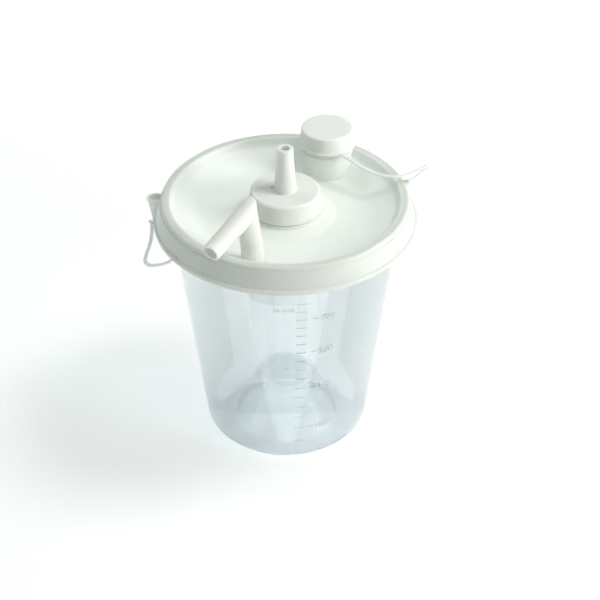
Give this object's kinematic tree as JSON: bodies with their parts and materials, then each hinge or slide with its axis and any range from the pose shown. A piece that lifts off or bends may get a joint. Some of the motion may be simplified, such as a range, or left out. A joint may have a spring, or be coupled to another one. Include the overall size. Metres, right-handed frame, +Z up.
{
  "type": "suction collection canister",
  "caption": "Clear tapered graduated suction canister with a push-on lid, filter turret and vacuum nozzle, angled patient port, capped pour port and float shut-off valve.",
  "frame": {"origin": "centre of the cup's foot on the plane it stands on", "axes": "+Z up along the cup and the vacuum nozzle; -Y is the side with the patient port and the graduation; +X to the right seen from there"},
  "size_m": [0.1481, 0.1362, 0.1705],
  "materials": {
    "clear_plastic": "clear, glossy",
    "lid_white": "white, satin moulded",
    "cap_white": "white, soft satin moulded",
    "port_white": "white, satin moulded",
    "cage_white": "natural white moulded",
    "float_plastic": "pale moulded",
    "seal_rubber": "soft elastomer",
    "filter_felt": "pressed filter medium"
  },
  "bodies": {
    "cup": {"cup": "clear_plastic"},
    "lid": {"lid": "lid_white", "lid_seal": "seal_rubber", "vacuum_turret": "lid_white", "filter_disc": "filter_felt", "filter_grid": "lid_white", "valve_seat": "seal_rubber", "float_cage": "cage_white", "cage_cap": "cage_white", "patient_port": "port_white", "inlet_deflector": "port_white", "pour_cap_tether": "cap_white"},
    "float": {"float_body": "float_plastic", "float_seal": "seal_rubber"},
    "pour_cap": {"pour_cap": "cap_white", "pour_cap_seal": "seal_rubber"},
    "port_cap": {"port_cap": "cap_white", "port_cap_tether": "cap_white"}
  },
  "joints": [
    {"name": "lid_lift", "type": "slide", "parent": "cup", "child": "lid", "axis": [0, 0, 1], "range_m": [0, 0.06]},
    {"name": "float_rise", "type": "slide", "parent": "lid", "child": "float", "axis": [0, 0, 1], "range_m": [0, 0.008]},
    {"name": "pour_cap_pull", "type": "slide", "parent": "lid", "child": "pour_cap", "axis": [0, 0, 1], "range_m": [0, 0.014], "deforming": ["pour_cap_tether"]},
    {"name": "port_cap_swing", "type": "hinge", "parent": "lid", "child": "port_cap", "pos_m": [-0.0557, -0.0401, 0.1303], "axis": [0, 0, 1], "range_deg": [0, 50]}
  ]
}
